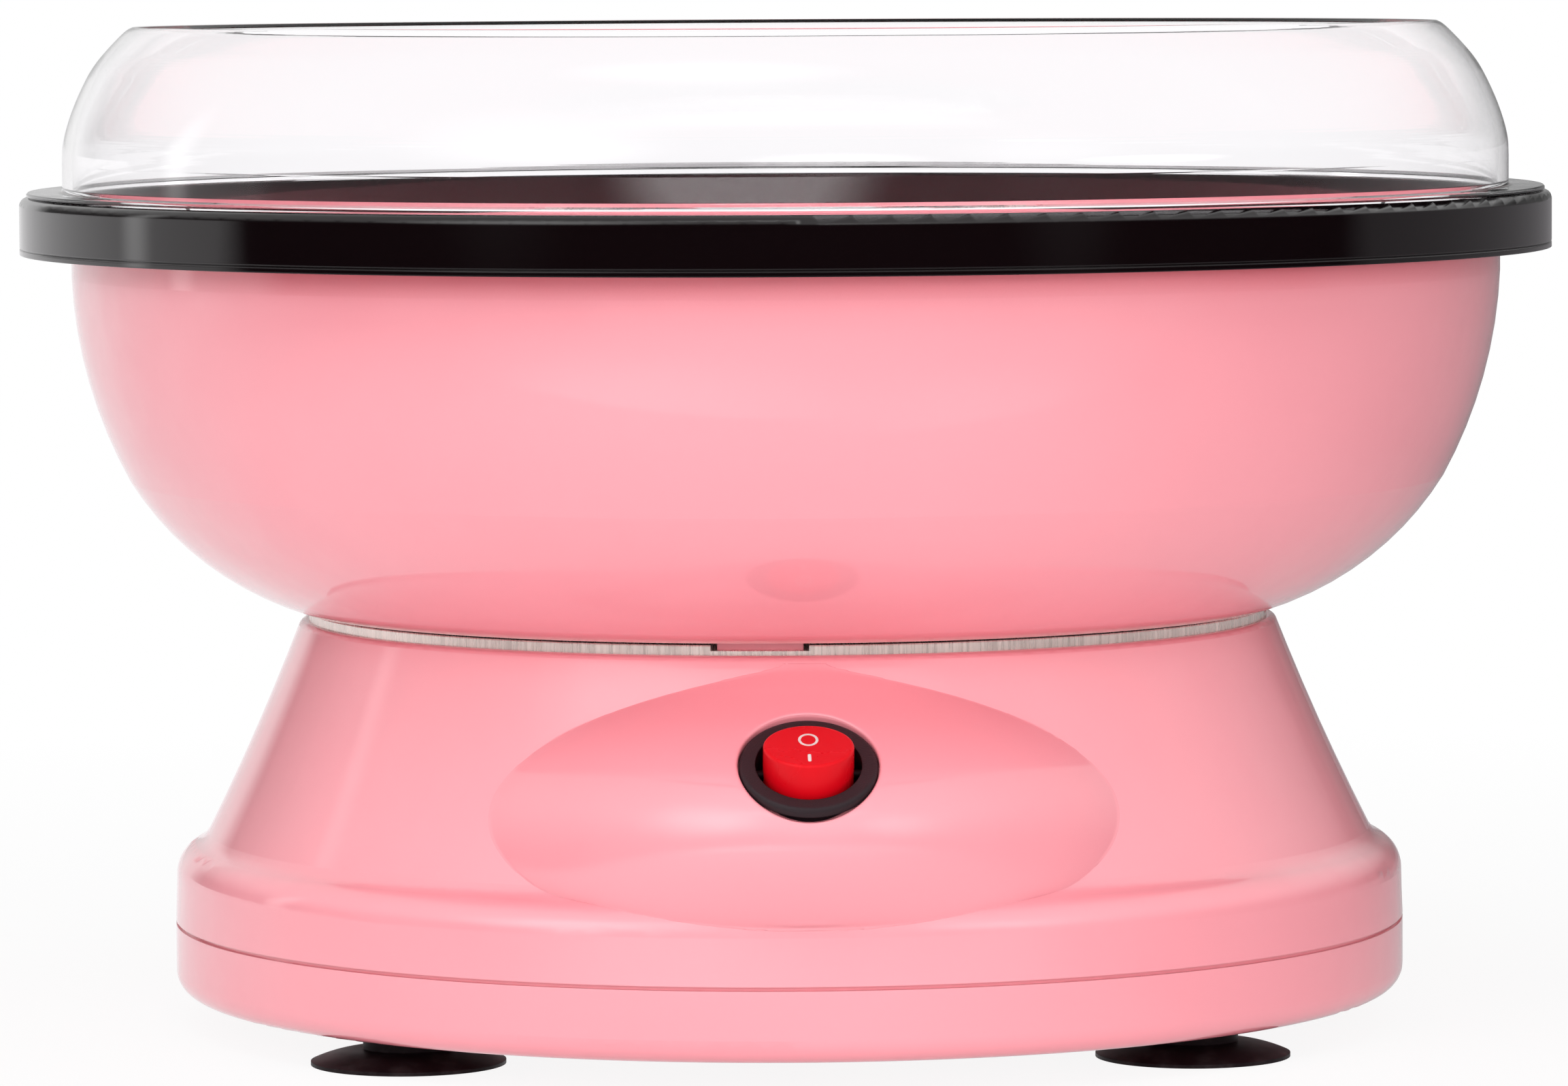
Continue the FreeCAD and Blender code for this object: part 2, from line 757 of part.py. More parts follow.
def rim_ring():
    """Clip ring: outer wall, top shelf, and an inner leg that stands on the bowl's rim."""
    leg_r = dome_r + slip_gap
    bottom = ring_top_z - ring_height
    shelf_z = ring_top_z - ring_shelf_t
    line_z = bottom + ring_line
    body = revolved([(ring_inner_r, bottom),
                     (ring_r, bottom),
                     (ring_r, ring_top_z),
                     (leg_r, ring_top_z),
                     (leg_r, bowl_rim_z),
                     (leg_r + ring_leg_t, bowl_rim_z),
                     (leg_r + ring_leg_t, shelf_z),
                     (ring_inner_r, shelf_z)])
    body = round_circle(body, ring_r, ring_top_z, ring_round)
    line = tube(ring_r - ring_line_depth, ring_r + 1, line_z, line_z + ring_line_depth)
    rib_length = ring_inner_r - leg_r - ring_leg_t / 2
    rib = Part.makeBox(rib_length + ring_wall / 2, ring_rib_width, shelf_z - bowl_rim_z - slip_gap,
                       Vector(leg_r + ring_leg_t / 2, -ring_rib_width / 2, bowl_rim_z + slip_gap))
    return body.fuse(around(rib, ring_rib_count)).cut(line).removeSplitter()


def dome_shield():
    """Clear shield: foot inside the ring, thin flange on the ring's top, domed wall and open mouth."""
    flange_top = ring_top_z + dome_flange_t
    flange_r = ring_r - dome_flange_inset
    curve_z = ring_top_z + dome_upright
    rim_z = dome_top_z - dome_rim_h
    return revolved([(dome_r - dome_wall, dome_bottom_z),
                     (dome_r, dome_bottom_z),
                     (dome_r, ring_top_z),
                     (flange_r, ring_top_z),
                     (flange_r, flange_top),
                     (dome_r, flange_top),
                     (dome_r, curve_z),
                     (dome_mouth_r, rim_z, dome_bulge),
                     (dome_mouth_r, dome_top_z),
                     (dome_mouth_r - dome_wall, dome_top_z),
                     (dome_mouth_r - dome_wall, rim_z - dome_corner),
                     (dome_r - dome_wall, curve_z, -dome_bulge)])


# ---------------------------------------------------------------- spinning head

def rivet_places():
    return [polar(head_rivet_circle, 45 + index * 360.0 / head_rivet_count)
            for index in range(head_rivet_count)]


def head_pan():
    pan = cylinder(head_r, head_floor_z, head_floor_top_z)
    lip = tube(head_r - head_lip_t, head_r, head_floor_z, head_floor_top_z + head_lip_h)
    hub = cylinder(head_hub_r, hub_bottom_z, hub_top_z)
    hub = round_circle(hub, head_hub_r, hub_top_z, head_hub_round)
    pan = pan.fuse([lip, hub]).removeSplitter()
    bore = cylinder(shaft_r + running_gap, hub_bottom_z, shaft_tip_z + shaft_tip_gap)
    slot_width = 2 * (drive_pin_r + hole_gap)
    slot_top = drive_pin_z + drive_pin_r + running_gap
    slot = Part.makeBox(2 * head_r, slot_width, slot_top - hub_bottom_z,
                        Vector(-head_r, -slot_width / 2, hub_bottom_z))
    slot = slot.common(cylinder(drive_pin_length / 2 + hole_gap, hub_bottom_z, slot_top))
    holes = [cylinder(head_rivet_r, head_floor_z, head_floor_top_z, place) for place in rivet_places()]
    return pan.cut([bore, slot] + holes)


def head_band():
    band = tube(head_band_r - head_band_t, head_band_r, head_floor_top_z, head_cover_z)
    slot_z = (head_floor_top_z + head_cover_z - head_slot_h) / 2
    slot = Part.makeBox(3 * head_band_t, head_slot_width, head_slot_h,
                        Vector(head_band_r - 2 * head_band_t, -head_slot_width / 2, slot_z))
    return band.cut(around(slot, head_slot_count))


def head_cover():
    top = head_cover_z + head_cover_t
    cover = revolved([(head_mouth_r, head_cover_z - head_funnel_drop),
                      (head_mouth_r + head_cover_t, head_cover_z - head_funnel_drop),
                      (head_mouth_r + head_cover_t, head_cover_z),
                      (head_r, head_cover_z),
                      (head_r, top),
                      (head_mouth_r + head_funnel_flare, top),
                      (head_mouth_r + head_cover_t, top + head_funnel_flare),
                      (head_mouth_r, top + head_funnel_flare)])
    return cover.cut([cylinder(head_rivet_r, head_cover_z, top, place) for place in rivet_places()])


def head_rivets():
    rivets = []
    top = head_cover_z + head_cover_t
    for place in rivet_places():
        shank = cylinder(head_rivet_r, head_floor_z, top, place)
        low = cylinder(head_rivet_head_r, head_floor_z - head_rivet_head_t, head_floor_z, place)
        high = cylinder(head_rivet_head_r, top, top + head_rivet_head_t, place)
        rivets.append(shank.fuse([low, high]))
    return group(rivets)


# ---------------------------------------------------------------- shaft, fan and motor

def motor_shaft():
    shaft = cylinder(shaft_r, shaft_foot_z, shaft_tip_z)
    shaft = shaft.makeChamfer(shaft_chamfer, circle_edges(shaft, shaft_r, shaft_tip_z))
    return shaft.cut(drive_pin())


def drive_pin():
    return Part.makeCylinder(drive_pin_r, drive_pin_length,
                             Vector(-drive_pin_length / 2, 0, drive_pin_z), ALONG_X)


def shaft_collar():
    low = motor_top_z + bush_length
    return tube(shaft_r, collar_r, low, low + collar_h)


def cooling_fan():
    hub = tube(shaft_r, fan_hub_r, fan_z, fan_z + fan_height)
    return hub.fuse(around(fan_blade(), fan_blades)).removeSplitter()


def fan_blade():
    """Twisted blade, lofted from its root in the hub to its tip."""
    sections = []
    for reach, pitch in ((fan_hub_r - fan_blade_root, fan_root_pitch), (fan_r, fan_tip_pitch)):
        half_t = fan_blade_t / 2
        turn = math.radians(pitch)
        half_chord = (fan_height / 2 - fan_blade_margin) / math.sin(turn)
        corners = [(-half_chord, -half_t), (half_chord, -half_t),
                   (half_chord, half_t), (-half_chord, half_t)]
        points = []
        for along, across in corners:
            y = along * math.cos(turn) - across * math.sin(turn)
            z = along * math.sin(turn) + across * math.cos(turn)
            points.append(Vector(reach, y, fan_z + fan_height / 2 + z))
        sections.append(Part.makePolygon(points + points[:1]))
    blade = Part.makeLoft(sections, True, True)
    return blade.cut(cylinder(shaft_r, fan_z - 1, fan_z + fan_height + 1))


def motor_can():
    can = cylinder(motor_r, motor_bottom_z + end_cap_t, motor_top_z)
    can = can.makeChamfer(motor_wall, circle_edges(can, motor_r, motor_top_z))
    inside = cylinder(motor_r - motor_wall, motor_bottom_z + end_cap_t, motor_top_z - motor_wall)
    holes = [cylinder(thread_r, motor_top_z - motor_wall, motor_top_z, place)
             for place in motor_screw_places]
    return can.cut([inside, cylinder(bush_r, motor_top_z - motor_wall, motor_top_z)] + holes)


def motor_end_cap():
    cap = cylinder(motor_r, motor_bottom_z, motor_bottom_z + end_cap_t)
    cap = cap.makeChamfer(motor_wall, circle_edges(cap, motor_r, motor_bottom_z))
    return cap.cut(cylinder(bush_r, motor_bottom_z, motor_bottom_z + end_cap_t))


def upper_bush():
    top = motor_top_z + bush_length - running_gap
    return tube(shaft_r + running_gap, bush_r, motor_top_z - motor_wall, top)


def lower_bush():
    low = motor_bottom_z - bush_length + end_cap_t
    return tube(shaft_r + running_gap, bush_r, low, motor_bottom_z + end_cap_t)


def motor_magnets():
    inner_r = armature_r + magnet_gap
    ring = tube(inner_r, motor_r - motor_wall, stack_z, stack_z + armature_length)
    halves = []
    for start in (-magnet_angle / 2, 180 - magnet_angle / 2):
        wedge = Part.makeCylinder(motor_r, armature_length, Vector(0, 0, stack_z), UP, magnet_angle)
        wedge.rotate(Vector(0, 0, 0), UP, start)
        halves.append(ring.common(wedge))
    return group(halves)


def armature():
    top = stack_z + armature_length
    low = stack_z - commutator_length
    slot = Part.makeBox(armature_r, armature_slot_width, armature_length,
                        Vector(armature_slot_floor, -armature_slot_width / 2, stack_z))
    stack = cylinder(armature_r, stack_z, top).cut(around(slot, armature_slots))
    return stack.fuse(cylinder(commutator_r, low, stack_z)).cut(cylinder(shaft_r, low, top))


def motor_bracket():
    plate = cylinder(bracket_hub_r, motor_top_z, bracket_top_z)
    arm = Part.makeBox(post_circle, bracket_arm_width, bracket_t,
                       Vector(0, -bracket_arm_width / 2, motor_top_z))
    arm = arm.fuse(cylinder(bracket_arm_width / 2, motor_top_z, bracket_top_z, Vector(post_circle, 0, 0)))
    plate = plate.fuse(around(arm, bracket_arms, bracket_arm_start)).removeSplitter()
    holes = [cylinder(bush_r + hole_gap, motor_top_z, bracket_top_z)]
    holes += [cylinder(clear_r, motor_top_z, bracket_top_z, place) for place in motor_screw_places]
    holes += [cylinder(grommet_neck_r, motor_top_z, bracket_top_z, place) for place in post_places]
    return plate.cut(holes)


def motor_screws():
    return group([screw_down(place, bracket_top_z, bracket_t + motor_wall) for place in motor_screw_places])


def bracket_grommets():
    grommets = []
    for place in post_places:
        neck = cylinder(grommet_neck_r, motor_top_z, bracket_top_z, place)
        low = cylinder(grommet_r, motor_top_z - grommet_flange_t, motor_top_z, place)
        high = cylinder(grommet_r, bracket_top_z, post_foot_z, place)
        bore = cylinder(grommet_bore_r, motor_top_z - grommet_flange_t, post_foot_z, place)
        grommets.append(neck.fuse([low, high]).cut(bore))
    return group(grommets)


def bracket_screws():
    head_z = motor_top_z - grommet_flange_t
    return group([screw_up(place, head_z, bracket_screw_length) for place in post_places])


# ---------------------------------------------------------------- switch

def switch_bezel():
    low = -switch_sink
    flange = cylinder(flange_r, low, low + flange_t)
    flange = round_circle(flange, flange_r, low + flange_t, flange_round)
    barrel = cylinder(barrel_r, low - barrel_depth, low)
    body = flange.fuse(barrel).cut(cylinder(barrel_r - barrel_wall, low - barrel_depth, low + flange_t))
    return on_switch(body.cut(pivot_cylinder(pivot_pin_r, barrel_r)))


def pivot_cylinder(radius, half_length):
    return Part.makeCylinder(radius, 2 * half_length, Vector(-half_length, 0, pivot_level), ALONG_X)


def rocker_pin():
    return on_switch(pivot_cylinder(pivot_pin_r, barrel_r - pin_recess))


def switch_block():
    low = -switch_sink - barrel_depth - block_depth
    body = cylinder(barrel_r, low, low + block_depth)
    return on_switch(body.cut([terminal(side) for side in (-1, 0, 1)]))


def terminal(side):
    low = -switch_sink - barrel_depth - block_depth - terminal_length
    size = (terminal_t, terminal_width, terminal_length + terminal_root)
    return block(size, (side * terminal_spacing, 0), low)


def switch_terminals():
    return group([on_switch(terminal(side)) for side in (-1, 0, 1)])


def rocker():
    """Round rocker at rest with its upper side pressed, which is off."""
    top = pivot_level + rocker_face
    low = pivot_level - rocker_skirt
    body = cylinder(rocker_r, low, top)
    body = round_circle(body, rocker_r, top, rocker_round)
    body = body.cut(cylinder(rocker_r - rocker_wall, low, top - rocker_wall))
    hub = Part.makeCylinder(rocker_hub_r, 2 * rocker_r - rocker_wall,
                            Vector(-rocker_r + rocker_wall / 2, 0, pivot_level), ALONG_X)
    web = block((rocker_wall, 2 * rocker_r - rocker_wall, rocker_web_h), (0, 0), top - rocker_web_h)
    body = body.fuse([hub, web.common(cylinder(rocker_r - rocker_wall / 2, low, top - rocker_wall / 2))])
    body = body.cut(pivot_cylinder(pivot_pin_r + running_gap, barrel_r))
    body.rotate(Vector(0, 0, pivot_level), ALONG_X, -rocker_throw / 2)
    return on_switch(body)


# ---------------------------------------------------------------- electrics

def gland_cylinder(radius, low, high):
    """Cylinder across the rear wall, from low to high along +Y about the wall's face."""
    return Part.makeCylinder(radius, high - low, Vector(0, base_r + low, gland_z), Vector(0, 1, 0))


def cord_gland():
    flange = gland_cylinder(gland_flange_r, 0, gland_flange_t)
    body = gland_cylinder(gland_body_r, -gland_length, gland_flange_t)
    front = [edge for edge in flange.Edges if edge.BoundBox.YMin > base_r + gland_flange_t - gland_round]
    flange = flange.makeChamfer(gland_round, front)
    return flange.fuse(body).cut(gland_cylinder(gland_bore_r, -gland_length, gland_flange_t))


def terminal_block():
    body = block(block_size, block_place, cover_floor_z)
    pitch = block_size[0] / block_poles
    cuts = []
    for index in range(block_poles):
        x = block_place[0] + (index - (block_poles - 1) / 2) * pitch
        wire_start = Vector(x, block_place[1] - block_size[1] / 2, cover_floor_z + block_hole_rise)
        cuts.append(Part.makeCylinder(block_hole_r, block_size[1], wire_start, Vector(0, 1, 0)))
        cuts.append(cylinder(block_hole_r, cover_floor_z + block_screw_floor, cover_floor_z + block_size[2],
                             Vector(x, block_place[1], 0)))
    return body.cut(cuts)


def rectifier_board():
    board = block(board_size, board_place, board_z)
    return board.cut([cylinder(clear_r, board_z, board_top_z, place) for place in board_screw_places])


def board_parts():
    """Four diodes and a capacitor on the rectifier board."""
    pieces = []
    for index in range(diode_count):
        x = diode_place[0] + index * diode_pitch
        start = board_place + Vector(x, diode_place[1], board_top_z + diode_r)
        pieces.append(Part.makeCylinder(diode_r, diode_length, start, Vector(0, 1, 0)))
    can_place = board_place + Vector(capacitor_place[0], capacitor_place[1], 0)
    pieces.append(cylinder(capacitor_r, board_top_z, board_top_z + capacitor_h, can_place))
    return group(pieces)


def board_screws():
    return group([screw_down(place, board_top_z, board_lift) for place in board_screw_places])


# ---------------------------------------------------------------- write the parts

parts = {
    "dome_shield": dome_shield,
    "rim_ring": rim_ring,
    "bowl": bowl,
    "base_housing": base_housing,
    "bottom_cover": bottom_cover,
    "cover_screws": cover_screws,
    "heat_plate": heat_plate,
    "plate_screws": plate_screws,
    "heater_ring": heater_ring,
    "heater_posts": heater_posts,
    "heater_insulators": heater_insulators,
    "thermostat": thermostat,
    "thermostat_screws": thermostat_screws,
    "head_pan": head_pan,
    "head_band": head_band,
    "head_cover": head_cover,
    "head_rivets": head_rivets,
    "motor_shaft": motor_shaft,
    "drive_pin": drive_pin,
    "shaft_collar": shaft_collar,
    "cooling_fan": cooling_fan,
    "armature": armature,
    "motor_can": motor_can,
    "motor_end_cap": motor_end_cap,
    "motor_magnets": motor_magnets,
    "upper_bush": upper_bush,
    "lower_bush": lower_bush,
    "motor_bracket": motor_bracket,
    "motor_screws": motor_screws,
    "bracket_grommets": bracket_grommets,
    "bracket_screws": bracket_screws,
    "switch_bezel": switch_bezel,
    "switch_block": switch_block,
    "switch_terminals": switch_terminals,
    "rocker": rocker,
    "rocker_pin": rocker_pin,
    "cord_gland": cord_gland,
    "terminal_block": terminal_block,
    "rectifier_board": rectifier_board,
    "board_parts": board_parts,
    "board_screws": board_screws,
}

os.makedirs("parts", exist_ok=True)
for name, build in parts.items():
    build().exportStep(os.path.join("parts", name + ".step"))
for number, place in enumerate(foot_places, start=1):
    suction_foot(place).exportStep(os.path.join("parts", "suction_foot_%d.step" % number))
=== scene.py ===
import json
import math

import bmesh
import bpy
from mathutils import Matrix, Vector
from mathutils.bvhtree import BVHTree


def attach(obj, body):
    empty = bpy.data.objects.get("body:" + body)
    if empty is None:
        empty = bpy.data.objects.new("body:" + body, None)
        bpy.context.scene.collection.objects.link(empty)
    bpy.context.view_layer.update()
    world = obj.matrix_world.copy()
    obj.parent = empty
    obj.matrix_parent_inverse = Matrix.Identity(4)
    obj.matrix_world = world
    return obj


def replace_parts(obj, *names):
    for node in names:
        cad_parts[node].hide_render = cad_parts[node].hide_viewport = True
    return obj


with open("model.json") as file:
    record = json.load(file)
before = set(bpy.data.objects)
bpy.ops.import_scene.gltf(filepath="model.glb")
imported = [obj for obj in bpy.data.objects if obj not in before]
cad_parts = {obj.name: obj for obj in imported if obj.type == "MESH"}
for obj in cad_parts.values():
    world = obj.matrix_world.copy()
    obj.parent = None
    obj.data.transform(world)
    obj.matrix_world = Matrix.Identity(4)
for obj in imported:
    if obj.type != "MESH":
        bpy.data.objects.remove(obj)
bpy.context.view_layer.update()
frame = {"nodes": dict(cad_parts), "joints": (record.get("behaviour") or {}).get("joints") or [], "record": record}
nodes = frame["nodes"]
MM = 0.001


# ---------------------------------------------------------------- shader helpers

def add(tree, kind, inputs=None, **settings):
    """New shader node. An input is a value or another node's socket."""
    node = tree.nodes.new("ShaderNode" + kind)
    for key, value in settings.items():
        setattr(node, key, value)
    for key, value in (inputs or {}).items():
        if isinstance(value, bpy.types.NodeSocket):
            tree.links.new(value, node.inputs[key])
        else:
            node.inputs[key].default_value = value
    return node


def new_tree(name):
    """New material and its empty node tree."""
    material = bpy.data.materials.new(name)
    material.use_nodes = True
    material.node_tree.nodes.clear()
    return material, material.node_tree


def place(tree, scale=(1.0, 1.0, 1.0), turn=0.0):
    """The object's own coordinates in metres, scaled and turned about Z."""
    coords = add(tree, "TexCoord").outputs["Object"]
    mapping = add(tree, "Mapping", {"Vector": coords, "Scale": scale, "Rotation": (0.0, 0.0, turn)})
    return mapping.outputs["Vector"]


def noise(tree, vector, scale, detail=3.0, roughness=0.5):
    inputs = {"Vector": vector, "Scale": scale, "Detail": detail, "Roughness": roughness}
    return add(tree, "TexNoise", inputs).outputs["Fac"]


def math_node(tree, operation, first, second=0.0):
    node = add(tree, "Math", {0: first, 1: second}, operation=operation)
    return node.outputs["Value"]


def spread(tree, value, low, high, from_low=0.3, from_high=0.7):
    """Value mapped from one range, by default that of noise, to another and held inside it."""
    inputs = {"Value": value, "From Min": from_low, "From Max": from_high,
              "To Min": low, "To Max": high}
    return add(tree, "MapRange", inputs).outputs["Result"]


def blended(tree, factor, first, second):
    """Colour between two others. The numbers are a Mix node's sockets for colours."""
    return add(tree, "Mix", {0: factor, 6: first, 7: second}, data_type="RGBA").outputs[2]


def colour(red, green, blue):
    return (red, green, blue, 1.0)


def shade(tint, factor):
    return colour(*(channel * factor for channel in tint[:3]))


def softened(tree, radius):
    """Normal with the edges rounded off."""
    return add(tree, "Bevel", {"Radius": radius}, samples=4).outputs["Normal"]


def edge_mask(tree, radius):
    """1 on convex and concave edges, 0 on flat or gently curved surfaces."""
    rounded = softened(tree, radius)
    true_normal = add(tree, "NewGeometry").outputs["Normal"]
    likeness = add(tree, "VectorMath", {0: rounded, 1: true_normal}, operation="DOT_PRODUCT")
    return spread(tree, likeness.outputs["Value"], 1.0, 0.0, from_low=0.75, from_high=0.98)


def bumped(tree, height, strength, distance, radius=0.0):
    """Bump normal, on top of softened edges where there is a radius."""
    inputs = {"Height": height, "Strength": strength, "Distance": distance}
    if radius:
        inputs["Normal"] = softened(tree, radius)
    return add(tree, "Bump", inputs).outputs["Normal"]


def finish_material(tree, inputs):
    """Principled shader on the material's output."""
    bsdf = add(tree, "BsdfPrincipled", inputs)
    output = add(tree, "OutputMaterial")
    tree.links.new(bsdf.outputs["BSDF"], output.inputs["Surface"])
    return bsdf, output


# ---------------------------------------------------------------- materials

def moulded_plastic(name, tint, roughness, grain=0.02, grain_scale=900.0, edge_gain=1.12,
                    specular=0.5, lacquer=0.0, painted_shade=None):
    """Injection-moulded plastic: slow colour drift, fine orange peel, handling haze, paler edges that are partly
    wear and partly a painted highlight.

    Narrow places of the upper part are darkened to a deeper colour as painted shade, where one is given.
    """
    edge_radius, edge_wear_and_highlight = 0.4 * MM, 0.35
    narrow, under_z, over_z = 9.0 * MM, 0.09, 0.12
    material, tree = new_tree(name)
    coords = place(tree)
    drift = noise(tree, coords, scale=9.0, detail=2.0)
    body = blended(tree, spread(tree, drift, 0.0, 1.0), shade(tint, 0.965), shade(tint, 1.02))
    # Paler edges and creases: partly wear, partly a painted highlight
    edges = math_node(tree, "MULTIPLY", edge_mask(tree, edge_radius), edge_wear_and_highlight)
    base = blended(tree, edges, body, shade(tint, edge_gain))
    if painted_shade:
        # Painted shade: occluded narrow places of the upper part, such as under the ring, take the darker colour
        open_sky = add(tree, "AmbientOcclusion", {"Distance": narrow}, samples=6).outputs["AO"]
        hidden = spread(tree, open_sky, 1.0, 0.0, from_low=0.45, from_high=0.95)
        height = add(tree, "SeparateXYZ", {"Vector": coords}).outputs["Z"]
        upper = spread(tree, height, 0.25, 1.0, from_low=under_z, from_high=over_z)
        base = blended(tree, math_node(tree, "MULTIPLY", hidden, upper), base, painted_shade)
    haze = noise(tree, coords, scale=38.0, detail=5.0, roughness=0.6)
    peel = noise(tree, coords, grain_scale, detail=2.0)
    finish_material(tree, {
        "Base Color": base,
        "Roughness": spread(tree, haze, roughness * 0.8, roughness * 1.35),
        "Specular IOR Level": specular,
        "Coat Weight": lacquer,
        "Coat Roughness": 0.045,
        "Coat IOR": 1.5,
        "Normal": bumped(tree, peel, grain, 0.2 * MM, edge_radius)})
    return material


def clear_acrylic(name, tint):
    """Clear shield, with light passing straight through to what it covers."""
    through_wall = colour(0.93, 0.91, 0.93)
    material, tree = new_tree(name)
    coords = place(tree)
    haze = noise(tree, coords, scale=25.0, detail=5.0, roughness=0.6)
    ripple = noise(tree, coords, scale=22.0, detail=1.0)
    bsdf, output = finish_material(tree, {
        "Base Color": tint,
        "Roughness": spread(tree, haze, 0.0, 0.03),
        "IOR": 1.28,
        "Transmission Weight": 1.0,
        "Normal": bumped(tree, ripple, strength=0.04, distance=1.0 * MM)})
    passing = add(tree, "BsdfTransparent", {"Color": through_wall})
    shadow = add(tree, "LightPath").outputs["Is Shadow Ray"]
    mixed = add(tree, "MixShader",
                {0: shadow, 1: bsdf.outputs["BSDF"], 2: passing.outputs["BSDF"]})
    tree.links.new(mixed.outputs["Shader"], output.inputs["Surface"])
    return material


def brushed_metal(name, tint, roughness, turn, metallic):
    """Sheet brushed in one direction."""
    across, along, up = 1500.0, 18.0, 40.0
    material, tree = new_tree(name)
    strokes = noise(tree, place(tree, (across, along, up), turn), scale=1.0, detail=4.0,
                    roughness=0.65)
    wide = noise(tree, place(tree), scale=30.0)
    stroke_rough = spread(tree, strokes, roughness * 0.7, roughness * 1.2)
    finish_material(tree, {
        "Base Color": blended(tree, spread(tree, strokes, 0.0, 1.0),
                              shade(tint, 0.72), shade(tint, 1.05)),
        "Metallic": metallic,
        "Roughness": math_node(tree, "ADD", stroke_rough, spread(tree, wide, -0.03, 0.03)),
        "Anisotropic": 0.5,
        "Normal": bumped(tree, strokes, strength=0.12, distance=0.1 * MM)})
    return material


def turned_metal(name, tint, roughness, pitch=1600.0, bump=0.1):
    """Metal with the fine rings that spinning or turning leaves about the Z axis."""
    mask_radius, edge_radius, edge_wear_and_highlight = 0.25 * MM, 0.2 * MM, 0.5
    material, tree = new_tree(name)
    coords = place(tree)
    parts = add(tree, "SeparateXYZ", {"Vector": coords})
    squared = math_node(tree, "ADD", math_node(tree, "POWER", parts.outputs["X"], 2.0),
                        math_node(tree, "POWER", parts.outputs["Y"], 2.0))
    radius = math_node(tree, "SQRT", squared)
    rings_at = add(tree, "CombineXYZ", {"X": radius, "Y": parts.outputs["Z"]}).outputs["Vector"]
    rings = noise(tree, rings_at, pitch, detail=3.0, roughness=0.6)
    wide = noise(tree, coords, scale=45.0, detail=4.0)
    body = blended(tree, spread(tree, rings, 0.0, 1.0), shade(tint, 0.80), shade(tint, 1.04))
    # Brighter edges: partly wear, partly a painted highlight
    edges = math_node(tree, "MULTIPLY", edge_mask(tree, mask_radius), edge_wear_and_highlight)
    ring_rough = spread(tree, rings, roughness * 0.8, roughness * 1.25)
    finish_material(tree, {
        "Base Color": blended(tree, edges, body, shade(tint, 1.12)),
        "Metallic": 1.0,
        "Roughness": math_node(tree, "ADD", ring_rough, spread(tree, wide, -0.04, 0.04)),
        "Anisotropic": 0.4,
        "Normal": bumped(tree, rings, bump, 0.08 * MM, edge_radius)})
    return material


def plain_metal(name, tint, roughness, mottle=0.2, scale=220.0):
    """Plated, cast or heat-darkened metal with a mottled surface and bright edges."""
    mask_radius, edge_radius, edge_wear_and_highlight = 0.2 * MM, 0.15 * MM, 0.6
    material, tree = new_tree(name)
    coords = place(tree)
    spots = noise(tree, coords, scale, detail=5.0, roughness=0.6)
    fine = noise(tree, coords, scale * 3.0)
    body = blended(tree, spread(tree, spots, 0.0, 1.0),
                   shade(tint, 1.0 - mottle), shade(tint, 1.0 + mottle / 2))
    # Bright edges: partly wear, partly a painted highlight
    edges = math_node(tree, "MULTIPLY", edge_mask(tree, mask_radius), edge_wear_and_highlight)
    finish_material(tree, {
        "Base Color": blended(tree, edges, body, shade(tint, 1.25)),
        "Metallic": 1.0,
        "Roughness": spread(tree, spots, roughness * 0.8, roughness * 1.3),
        "Normal": bumped(tree, fine, 0.06, 0.1 * MM, edge_radius)})
    return material


def soft_rubber(name, tint):
    """Suction cup rubber: satin sheen, dust in patches and faint mould flow."""
    dust_tint = colour(0.075, 0.06, 0.062)
    stretched = (1.0, 1.0, 6.0)
    edge_radius = 0.2 * MM
    material, tree = new_tree(name)
    dust = noise(tree, place(tree), scale=160.0, detail=6.0, roughness=0.65)
    flow = noise(tree, place(tree, stretched), scale=60.0)
    dusty = spread(tree, dust, 0.0, 0.35, from_low=0.5, from_high=0.75)
    finish_material(tree, {
        "Base Color": blended(tree, dusty, tint, dust_tint),
        "Roughness": spread(tree, flow, 0.34, 0.52),
        "Specular IOR Level": 0.12,
        "Normal": bumped(tree, dust, 0.08, 0.1 * MM, edge_radius)})
    return material


